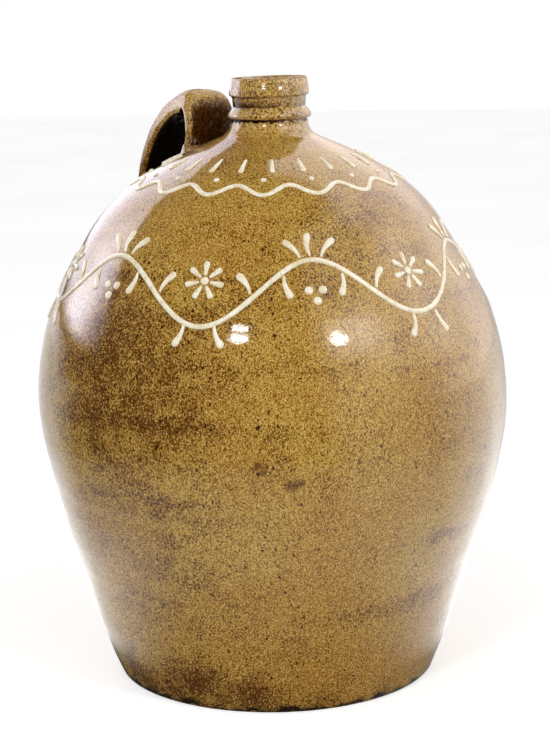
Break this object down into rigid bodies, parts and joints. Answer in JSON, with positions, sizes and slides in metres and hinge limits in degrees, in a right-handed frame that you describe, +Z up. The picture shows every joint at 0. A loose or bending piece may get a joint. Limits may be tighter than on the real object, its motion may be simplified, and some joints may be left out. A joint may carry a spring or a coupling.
{
  "type": "stoneware jug",
  "caption": "Large ovoid glazed stoneware jug with a narrow double-ringed neck, a strap handle on the shoulder and a trailed slip vine.",
  "frame": {"origin": "centre of the flat foot, on the surface that the jug stands on", "axes": "+Z up along the jug's turning axis, out of the mouth; -X towards the handle; +X is the side opposite the handle"},
  "size_m": [0.3001, 0.3002, 0.381],
  "materials": {
    "glaze": "gloss",
    "slip": "gloss"
  },
  "bodies": {
    "root": {"lower_body": "glaze", "upper_body": "glaze", "neck": "glaze", "handle": "glaze", "inner_foot_wad": "glaze", "outer_foot_wad": "glaze", "neck_rays": "slip", "shoulder_wave": "slip", "wave_dots": "slip", "vine_stem": "slip", "vine_leaves": "slip", "vine_daisies": "slip", "vine_berries": "slip"}
  },
  "joints": []
}
